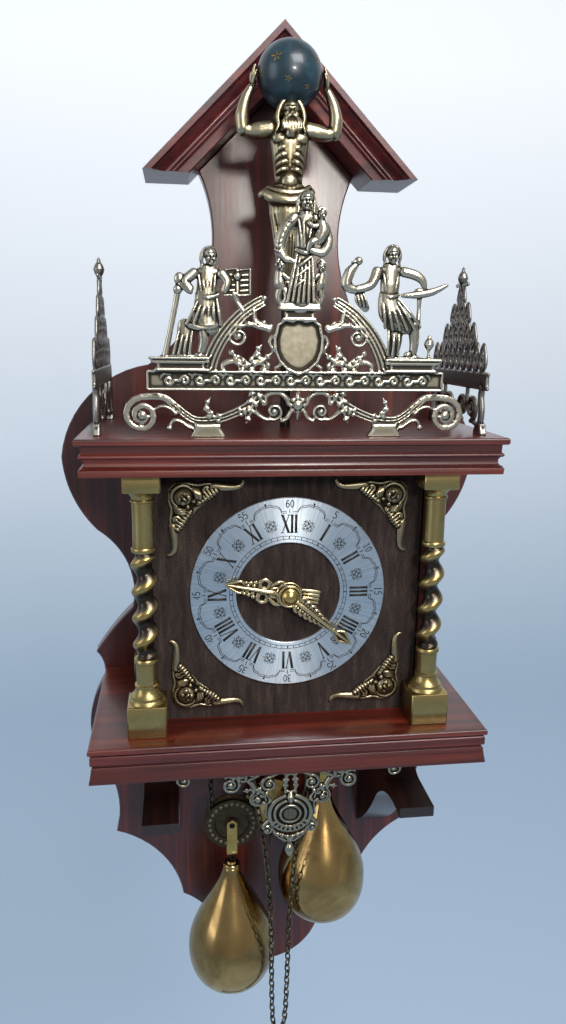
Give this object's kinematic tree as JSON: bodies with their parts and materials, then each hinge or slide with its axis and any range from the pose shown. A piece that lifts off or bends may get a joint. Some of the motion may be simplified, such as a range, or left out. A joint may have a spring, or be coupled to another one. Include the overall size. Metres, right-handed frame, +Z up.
{
  "type": "zaandam wall clock",
  "caption": "Dutch wall clock: gabled backboard, cresting with figures, chapter ring dial between twisted columns, and two pear weights on chains.",
  "frame": {"origin": "centre of the hanger hole, on the wall plane at the back of the backboard", "axes": "+Z up, +X to the clock's right as seen from the front, +Y into the wall; the dial faces -Y"},
  "size_m": [0.2738, 0.123, 0.7381],
  "materials": {
    "mahogany": "satin lacquer",
    "mahogany_dark": "satin lacquer",
    "brass_plain": "satin",
    "brass_column": "polished, toned",
    "brass_polished": "polished, tarnished",
    "brass_pulley": "toned",
    "cast_brass": "cast, toned",
    "cast_pewter_brass": "cast, antique pewter tone",
    "dark_steel": "dark bronze",
    "chain_bronze": "dark bronze",
    "velvet": "flocked cloth",
    "silvered_metal": "brushed, silvered",
    "painted_globe": "enamel with gilt marks",
    "bell_metal": "polished"
  },
  "bodies": {
    "case": {"backboard": "mahogany", "wall_hanger_plate": "brass_plain", "hanger_screws": "brass_plain", "roof_moulding_right": "mahogany", "roof_moulding_left": "mahogany", "upper_platform": "mahogany", "upper_cornice": "mahogany", "base_board": "mahogany", "base_moulding": "mahogany", "bracket_right": "mahogany_dark", "bracket_left": "mahogany_dark", "dial_plate": "velvet", "chapter_ring": "silvered_metal", "corner_spandrels": "cast_brass", "column_front_left": "brass_column", "column_front_right": "brass_column", "column_rear_left": "brass_column", "column_rear_right": "brass_column", "front_crest": "cast_pewter_brass", "side_crest_right": "cast_pewter_brass", "side_crest_left": "cast_pewter_brass", "atlas_rod": "dark_steel", "globe": "painted_globe", "atlas_figure": "cast_pewter_brass", "lower_apron": "cast_pewter_brass", "movement_front_plate": "brass_plain", "movement_back_plate": "brass_plain", "movement_pillars": "brass_plain", "suspension_cock": "brass_plain", "bell_post": "dark_steel", "bell": "bell_metal", "chains_on_wheels": "chain_bronze", "door_hinge_pins": "brass_plain", "going_chain_free": "chain_bronze", "going_chain_coil": "chain_bronze", "strike_chain_free": "chain_bronze", "strike_chain_coil": "chain_bronze"},
    "going_arbor": {"going_arbor": "brass_plain"},
    "strike_arbor": {"strike_arbor": "brass_plain"},
    "centre_arbor": {"centre_arbor": "dark_steel"},
    "minute_hand": {"cannon_pinion": "brass_plain", "minute_hand": "cast_brass", "hand_nut": "brass_plain"},
    "hour_hand": {"hour_wheel": "brass_plain", "hour_hand": "cast_brass"},
    "minute_wheel": {"minute_wheel": "brass_plain"},
    "anchor": {"anchor_and_crutch": "dark_steel"},
    "pendulum": {"pendulum_rod": "dark_steel", "pendulum_bob": "brass_plain"},
    "hammer": {"hammer": "dark_steel"},
    "going_pulley": {"going_pulley": "brass_pulley"},
    "going_weight": {"going_stirrup": "dark_steel", "going_weight": "brass_polished", "going_chain_loop": "chain_bronze"},
    "strike_pulley": {"strike_pulley": "brass_pulley"},
    "strike_weight": {"strike_stirrup": "dark_steel", "strike_weight": "brass_polished", "strike_chain_loop": "chain_bronze"},
    "right_door": {"side_door_right": "mahogany"},
    "left_door": {"side_door_left": "mahogany"}
  },
  "joints": [
    {"name": "minute_hand_turn", "type": "hinge", "parent": "case", "child": "minute_hand", "pos_m": [0, -0.09, -0.257], "axis": [0, 1, 0], "continuous": true},
    {"name": "hour_hand_turn", "type": "hinge", "parent": "case", "child": "hour_hand", "pos_m": [0, -0.09, -0.257], "axis": [0, 1, 0], "continuous": true},
    {"name": "minute_wheel_turn", "type": "hinge", "parent": "case", "child": "minute_wheel", "pos_m": [0, -0.08, -0.269], "axis": [0, 1, 0], "continuous": true},
    {"name": "going_weight_fall", "type": "slide", "parent": "case", "child": "going_weight", "axis": [0, 0, -1], "range_m": [-0.03, 0.03]},
    {"name": "going_pulley_turn", "type": "hinge", "parent": "going_weight", "child": "going_pulley", "pos_m": [-0.031, -0.055, -0.429], "axis": [0, 1, 0], "range_deg": [-128.32, 128.32]},
    {"name": "going_arbor_turn", "type": "hinge", "parent": "case", "child": "going_arbor", "pos_m": [-0.0335, -0.055, -0.26726], "axis": [0, 1, 0], "range_deg": [-313.52, 313.52]},
    {"name": "centre_arbor_turn", "type": "hinge", "parent": "case", "child": "centre_arbor", "pos_m": [0, -0.06, -0.257], "axis": [0, 1, 0], "range_deg": [-1876.13, 1876.13]},
    {"name": "strike_weight_fall", "type": "slide", "parent": "case", "child": "strike_weight", "axis": [0, 0, -1], "range_m": [0, 0.05]},
    {"name": "strike_pulley_turn", "type": "hinge", "parent": "strike_weight", "child": "strike_pulley", "pos_m": [0.031, -0.055, -0.379], "axis": [0, 1, 0], "range_deg": [0, 213.21]},
    {"name": "strike_arbor_turn", "type": "hinge", "parent": "case", "child": "strike_arbor", "pos_m": [0.0335, -0.055, -0.26726], "axis": [0, 1, 0], "range_deg": [0, 521.87]},
    {"name": "pendulum_swing", "type": "hinge", "parent": "case", "child": "pendulum", "pos_m": [0, -0.019, -0.225], "axis": [0, 1, 0], "range_deg": [-5, 5]},
    {"name": "anchor_rock", "type": "hinge", "parent": "case", "child": "anchor", "pos_m": [0, -0.05, -0.225], "axis": [0, 1, 0], "range_deg": [-6, 6]},
    {"name": "hammer_lift", "type": "hinge", "parent": "case", "child": "hammer", "pos_m": [0.036, -0.05, -0.2258], "axis": [0, 1, 0], "range_deg": [0, 8]},
    {"name": "left_door_swing", "type": "hinge", "parent": "case", "child": "left_door", "pos_m": [-0.081, -0.045, -0.258], "axis": [0, 0, -1], "range_deg": [0, 92]},
    {"name": "right_door_swing", "type": "hinge", "parent": "case", "child": "right_door", "pos_m": [0.081, -0.045, -0.258], "axis": [0, 0, 1], "range_deg": [0, 92]}
  ],
  "couplings": [
    {"joint": "hour_hand_turn", "follows": "minute_hand_turn", "ratio": 0.083333},
    {"joint": "minute_wheel_turn", "follows": "minute_hand_turn", "ratio": -0.33333},
    {"joint": "going_pulley_turn", "follows": "going_weight_fall", "rad_per_m": -74.074},
    {"joint": "going_arbor_turn", "follows": "going_weight_fall", "rad_per_m": -181.82},
    {"joint": "centre_arbor_turn", "follows": "going_weight_fall", "rad_per_m": 1090.9},
    {"joint": "strike_pulley_turn", "follows": "strike_weight_fall", "rad_per_m": 74.074},
    {"joint": "strike_arbor_turn", "follows": "strike_weight_fall", "rad_per_m": 181.82},
    {"joint": "anchor_rock", "follows": "pendulum_swing", "ratio": 1}
  ]
}
